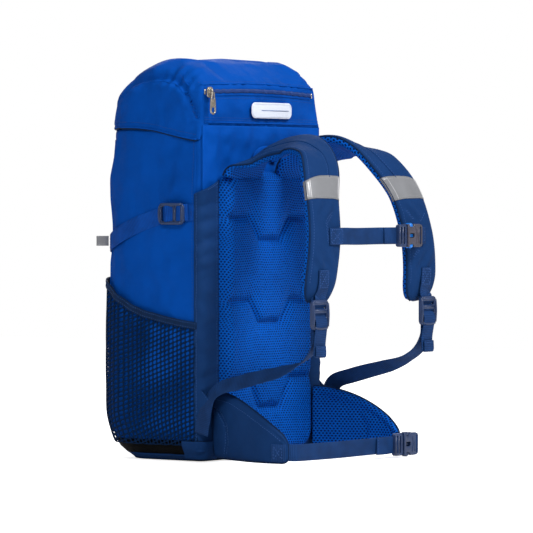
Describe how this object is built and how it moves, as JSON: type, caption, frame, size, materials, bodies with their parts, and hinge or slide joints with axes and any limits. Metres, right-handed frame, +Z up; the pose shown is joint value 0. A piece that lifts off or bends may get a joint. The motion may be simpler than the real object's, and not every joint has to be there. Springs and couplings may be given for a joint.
{
  "type": "daypack",
  "caption": "Small hiking daypack with a zipped hinged hood, padded mesh back, curved shoulder straps with a chest strap, net side pockets and a padded hip belt.",
  "frame": {"origin": "on the underside of the base panel, below the middle of the bag", "axes": "+Z up, -Y towards the wearer's back, X across the pack's width"},
  "size_m": [0.2686, 0.3633, 0.483],
  "materials": {
    "shell_blue": "smooth royal-blue polyester",
    "navy_fabric": "navy polyester",
    "navy_webbing": "ribbed navy webbing",
    "air_mesh": "blue spacer mesh with dark holes",
    "pocket_mesh": "navy net",
    "black_fabric": "black coated fabric",
    "navy_plastic": "moulded navy acetal",
    "sternum_blue": "moulded blue acetal",
    "sternum_grey": "moulded grey acetal",
    "black_plastic": "moulded black plastic",
    "foam": "closed-cell foam",
    "reflective": "grey reflective tape",
    "label_white": "white rubber label",
    "zip_metal": "worn cast zinc"
  },
  "bodies": {
    "root": {"main_bag": "shell_blue", "base_panel": "black_fabric", "frame_sheet": "black_plastic", "foam_back_pad": "foam", "back_panel": "air_mesh", "collar": "shell_blue", "drawcord": "black_fabric", "cord_lock": "black_plastic", "yoke_panel": "shell_blue", "front_loop": "navy_fabric", "left_side_strip": "navy_fabric", "right_side_strip": "navy_fabric", "left_pocket": "pocket_mesh", "right_pocket": "pocket_mesh", "left_pocket_binding": "navy_fabric", "right_pocket_binding": "navy_fabric", "left_compression_strap": "shell_blue", "right_compression_strap": "shell_blue", "left_reflective_loop": "reflective", "right_reflective_loop": "reflective", "left_webbing_gusset": "navy_fabric", "right_webbing_gusset": "navy_fabric"},
    "lid": {"lid": "shell_blue", "lid_pocket_floor": "shell_blue", "lid_zip_tape": "shell_blue", "name_label": "label_white", "lid_strap": "shell_blue", "lid_buckle_male": "navy_plastic"},
    "zip_slider": {"zip_slider": "zip_metal"},
    "zip_puller": {"zip_puller": "zip_metal"},
    "lid_release": {"lid_buckle_female": "navy_plastic", "front_strap": "shell_blue"},
    "harness": {"left_shoulder_pad": "navy_fabric", "right_shoulder_pad": "navy_fabric", "left_shoulder_lining": "air_mesh", "right_shoulder_lining": "air_mesh", "left_strap_reflector": "reflective", "right_strap_reflector": "reflective", "left_strap_end_tab": "navy_webbing", "right_strap_end_tab": "navy_webbing", "sternum_webbing": "navy_webbing", "sternum_anchor": "navy_webbing", "sternum_buckle_female": "sternum_grey"},
    "sternum_male": {"sternum_buckle_male": "sternum_blue"},
    "left_lock": {"left_ladder_lock": "navy_plastic", "left_webbing_tail": "navy_webbing"},
    "right_lock": {"right_ladder_lock": "navy_plastic", "right_webbing_tail": "navy_webbing"},
    "left_adjuster": {"left_adjust_webbing": "navy_webbing"},
    "right_adjuster": {"right_adjust_webbing": "navy_webbing"},
    "left_wing": {"left_hip_wing": "navy_fabric"},
    "right_wing": {"right_hip_wing": "navy_fabric"},
    "hip_strap": {"hip_webbing": "navy_webbing"},
    "hip_female": {"hip_buckle_female": "navy_plastic"},
    "hip_male": {"hip_buckle_male": "navy_plastic"},
    "left_compression": {"left_compression_lock": "navy_plastic"},
    "right_compression": {"right_compression_lock": "navy_plastic"},
    "cord_button": {"cord_lock_button": "black_plastic"},
    "haul": {"haul_loop": "navy_webbing"}
  },
  "joints": [
    {"name": "lid_hinge", "type": "hinge", "parent": "root", "child": "lid", "pos_m": [0, -0.082, 0.401], "axis": [1, 0, 0], "range_deg": [0, 80]},
    {"name": "zip_slide", "type": "slide", "parent": "lid", "child": "zip_slider", "axis": [1, 0, 0], "range_m": [0, 0.19]},
    {"name": "puller_swing", "type": "hinge", "parent": "zip_slider", "child": "zip_puller", "pos_m": [-0.1055, -0.0919, 0.438], "axis": [-1, 0, 0], "range_deg": [0, 90]},
    {"name": "lid_buckle_release", "type": "slide", "parent": "lid", "child": "lid_release", "axis": [0, 0, -1], "range_m": [0, 0.03]},
    {"name": "harness_swing", "type": "hinge", "parent": "root", "child": "harness", "pos_m": [0, -0.084, 0.33], "axis": [1, 0, 0], "range_deg": [-10, 6]},
    {"name": "sternum_buckle_release", "type": "slide", "parent": "harness", "child": "sternum_male", "axis": [-1, 0, 0], "range_m": [0, 0.03]},
    {"name": "left_lock_tilt", "type": "hinge", "parent": "harness", "child": "left_lock", "pos_m": [-0.113, -0.247, 0.1915], "axis": [-1, 0, 0], "range_deg": [0, 15]},
    {"name": "right_lock_tilt", "type": "hinge", "parent": "harness", "child": "right_lock", "pos_m": [0.113, -0.247, 0.1915], "axis": [-1, 0, 0], "range_deg": [0, 15]},
    {"name": "left_adjuster_pivot", "type": "hinge", "parent": "root", "child": "left_adjuster", "pos_m": [-0.118, -0.098, 0.085], "axis": [1, 0, 0], "range_deg": [-5, 3]},
    {"name": "right_adjuster_pivot", "type": "hinge", "parent": "root", "child": "right_adjuster", "pos_m": [0.118, -0.098, 0.085], "axis": [1, 0, 0], "range_deg": [-5, 3]},
    {"name": "left_wing_flare", "type": "hinge", "parent": "root", "child": "left_wing", "pos_m": [-0.099, -0.089, 0.04], "axis": [0, 0, 1], "range_deg": [-5, 2]},
    {"name": "right_wing_flare", "type": "hinge", "parent": "root", "child": "right_wing", "pos_m": [0.099, -0.089, 0.04], "axis": [0, 0, 1], "range_deg": [-2, 5]},
    {"name": "belt_pivot", "type": "hinge", "parent": "left_wing", "child": "hip_strap", "pos_m": [-0.115, -0.209, 0.016], "axis": [0, 0, 1], "range_deg": [-2, 5]},
    {"name": "hip_buckle_pivot", "type": "hinge", "parent": "right_wing", "child": "hip_female", "pos_m": [0.115, -0.209, 0.016], "axis": [0, 0, 1], "range_deg": [-5, 2]},
    {"name": "hip_buckle_release", "type": "slide", "parent": "hip_female", "child": "hip_male", "axis": [-1, 0, 0], "range_m": [0, 0.03]},
    {"name": "left_compression_lift", "type": "hinge", "parent": "root", "child": "left_compression", "pos_m": [-0.1274, -0.058, 0.295], "axis": [0, 0, 1], "range_deg": [0, 15]},
    {"name": "right_compression_lift", "type": "hinge", "parent": "root", "child": "right_compression", "pos_m": [0.1274, -0.058, 0.295], "axis": [0, 0, -1], "range_deg": [0, 15]},
    {"name": "cord_lock_press", "type": "slide", "parent": "root", "child": "cord_button", "axis": [-1, 0, 0], "range_m": [0, 0.003], "stiffness_N_per_m": 300},
    {"name": "haul_loop_tilt", "type": "hinge", "parent": "root", "child": "haul", "pos_m": [0, -0.085, 0.364], "axis": [1, 0, 0], "range_deg": [0, 15]}
  ],
  "couplings": [
    {"joint": "left_adjuster_pivot", "follows": "harness_swing", "ratio": 0.44},
    {"joint": "right_adjuster_pivot", "follows": "harness_swing", "ratio": 0.44},
    {"joint": "right_wing_flare", "follows": "left_wing_flare", "ratio": -1},
    {"joint": "belt_pivot", "follows": "left_wing_flare", "ratio": -1},
    {"joint": "hip_buckle_pivot", "follows": "left_wing_flare", "ratio": 1}
  ]
}
